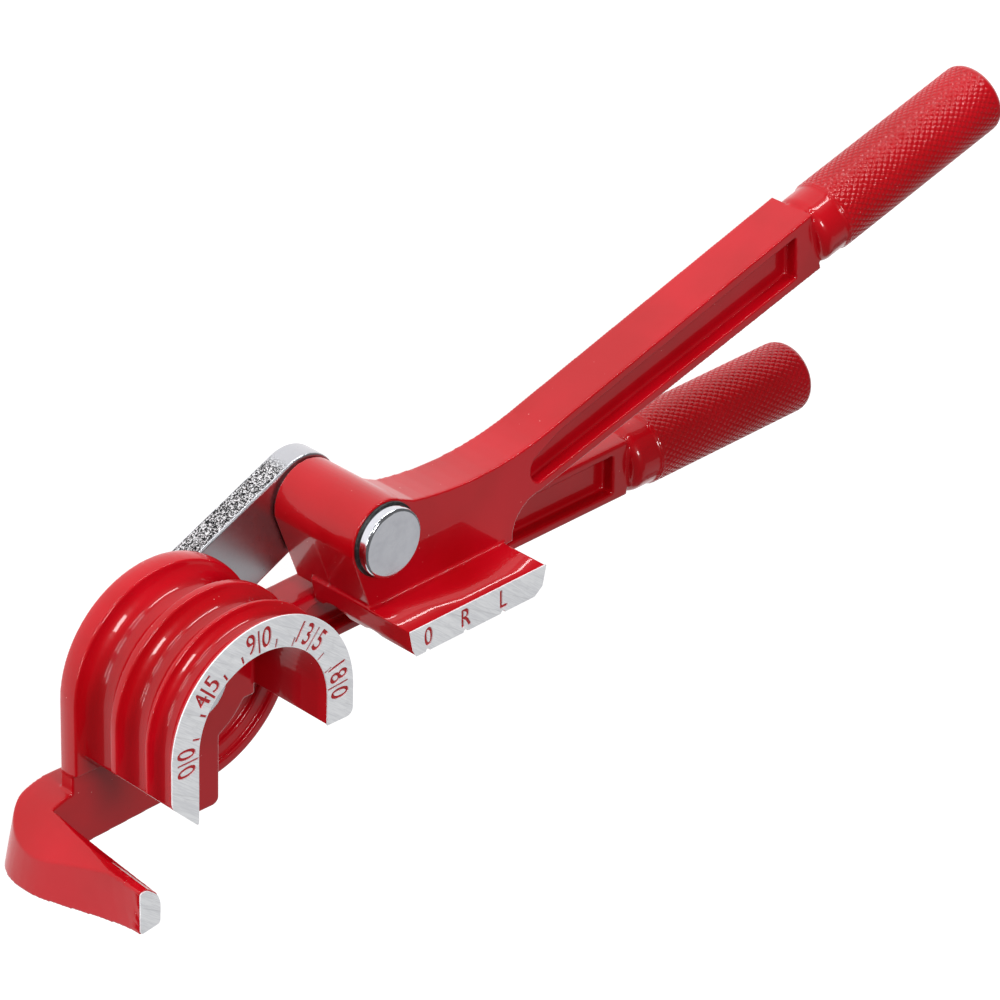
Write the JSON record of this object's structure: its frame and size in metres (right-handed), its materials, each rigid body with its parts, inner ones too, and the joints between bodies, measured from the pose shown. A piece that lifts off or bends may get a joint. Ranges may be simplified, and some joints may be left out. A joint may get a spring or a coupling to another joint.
{
  "type": "manual tube bender",
  "caption": "Hand tube bender for small tubes: grooved half-round form with angle scale and hook, red cast handles, steel link and a grooved pressing shoe on two pivots.",
  "frame": {"origin": "on the bend axis, in the back plane of the lower casting", "axes": "+Z along both hinge axes, out of the machined scale face; +X along the handles towards the grips; +Y to the side the upper handle opens to"},
  "size_m": [0.2517, 0.1024, 0.044],
  "materials": {
    "red_paint": "gloss red paint on cast aluminium",
    "plated_steel": "satin plating with rough sheared edges",
    "pin_chrome": "polished",
    "black_ring": "black",
    "washer_steel": "plain",
    "clip_steel": "blackened"
  },
  "bodies": {
    "lower_handle": {"lower_handle": "red_paint", "form_pin": "pin_chrome", "form_pin_collar": "black_ring", "form_rear_washer": "washer_steel", "form_pin_clip": "clip_steel"},
    "link": {"link_bar": "plated_steel", "form_thrust_washer": "washer_steel", "handle_thrust_washer": "washer_steel"},
    "upper_handle": {"upper_handle": "red_paint", "handle_pin": "pin_chrome", "handle_pin_collar": "black_ring", "handle_rear_washer": "washer_steel", "handle_pin_clip": "clip_steel"}
  },
  "joints": [
    {"name": "link_swing", "type": "hinge", "parent": "lower_handle", "child": "link", "pos_m": [0, 0, 0], "axis": [0, 0, 1], "range_deg": [0, 130]},
    {"name": "handle_swing", "type": "hinge", "parent": "link", "child": "upper_handle", "pos_m": [0.04118, 0.01982, 0], "axis": [0, 0, 1], "range_deg": [-75, 120]}
  ]
}
